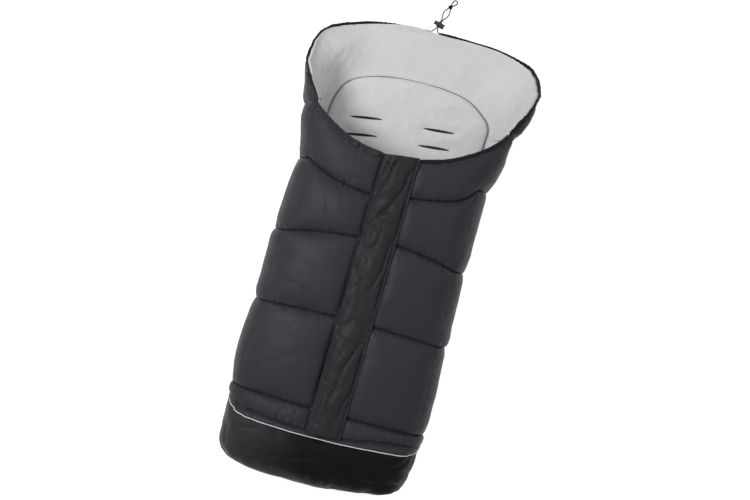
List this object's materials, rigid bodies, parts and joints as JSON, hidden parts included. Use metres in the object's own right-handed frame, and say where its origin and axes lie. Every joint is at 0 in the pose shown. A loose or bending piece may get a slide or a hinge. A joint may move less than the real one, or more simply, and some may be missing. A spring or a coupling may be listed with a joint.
{
  "type": "stroller footmuff",
  "caption": "Quilted stroller footmuff lying on its back: padded sack, fleece-lined flared hood with drawstring and cord lock, front zip under a long flap, harness slots, rounded foot.",
  "frame": {"origin": "point of the flat back face on the sack's centre line, just below the middle of its length", "axes": "+Z out of the front face, +Y towards the head end and hood, +X to the right as seen from above with the hood up"},
  "size_m": [0.4783, 1.0519, 0.175],
  "materials": {
    "shell_nylon": "soft sheen, quilted",
    "fleece": "short pile",
    "black_plastic": "fine satin",
    "black_cord": "braided",
    "zip_metal": "black lacquer",
    "spring_steel": "bright",
    "reflective_tape": "retroreflective"
  },
  "bodies": {
    "sack": {"back_shell": "shell_nylon", "back_pad": "fleece", "side_left_shell": "shell_nylon", "side_right_shell": "shell_nylon", "side_left_lining": "fleece", "side_right_lining": "fleece", "hood_shell": "shell_nylon", "hood_lining": "fleece", "front_left_panel": "shell_nylon", "front_right_panel": "shell_nylon", "front_left_lining": "fleece", "front_right_lining": "fleece", "foot_cap": "shell_nylon", "foot_lining": "fleece", "reflective_piping": "reflective_tape", "rim_casing_left": "shell_nylon", "rim_casing_right": "shell_nylon", "drawstring_left": "black_cord", "drawstring_right": "black_cord", "drawstring_tail": "black_cord", "zip_tape_left": "shell_nylon", "zip_tape_right": "shell_nylon", "zip_teeth_left": "black_plastic", "zip_teeth_right": "black_plastic", "zip_top_stop_left": "zip_metal", "zip_top_stop_right": "zip_metal", "zip_bottom_stop": "zip_metal"},
    "placket": {"placket": "shell_nylon", "flap_hook_patch_1": "black_plastic", "flap_hook_patch_2": "black_plastic", "flap_hook_patch_3": "black_plastic"},
    "zip_slider": {"zip_slider": "zip_metal"},
    "zip_pull": {"zip_pull": "zip_metal"},
    "cord_lock": {"cord_lock_body": "black_plastic", "cord_lock_spring": "spring_steel"},
    "lock_plunger": {"cord_lock_plunger": "black_plastic"}
  },
  "joints": [
    {"name": "placket_hinge", "type": "hinge", "parent": "sack", "child": "placket", "pos_m": [-0.033, 0.17286, 0.1693], "axis": [0, -0.9991, -0.042], "range_deg": [0, 150]},
    {"name": "zip_slide", "type": "slide", "parent": "sack", "child": "zip_slider", "axis": [0, -0.9991, -0.042], "range_m": [0, 0.525]},
    {"name": "zip_pull_hinge", "type": "hinge", "parent": "zip_slider", "child": "zip_pull", "pos_m": [0, 0.15871, 0.16195], "axis": [-1, 0, 0], "range_deg": [0, 14]},
    {"name": "cord_lock_slide", "type": "slide", "parent": "sack", "child": "cord_lock", "axis": [0.2924, 0.9563, 0], "range_m": [0, 0.034]},
    {"name": "lock_plunger_press", "type": "slide", "parent": "cord_lock", "child": "lock_plunger", "axis": [0.9563, -0.2924, 0], "range_m": [0, 0.0025], "stiffness_N_per_m": 300, "springref_m": -0.004, "deforming": ["cord_lock_spring"]}
  ]
}
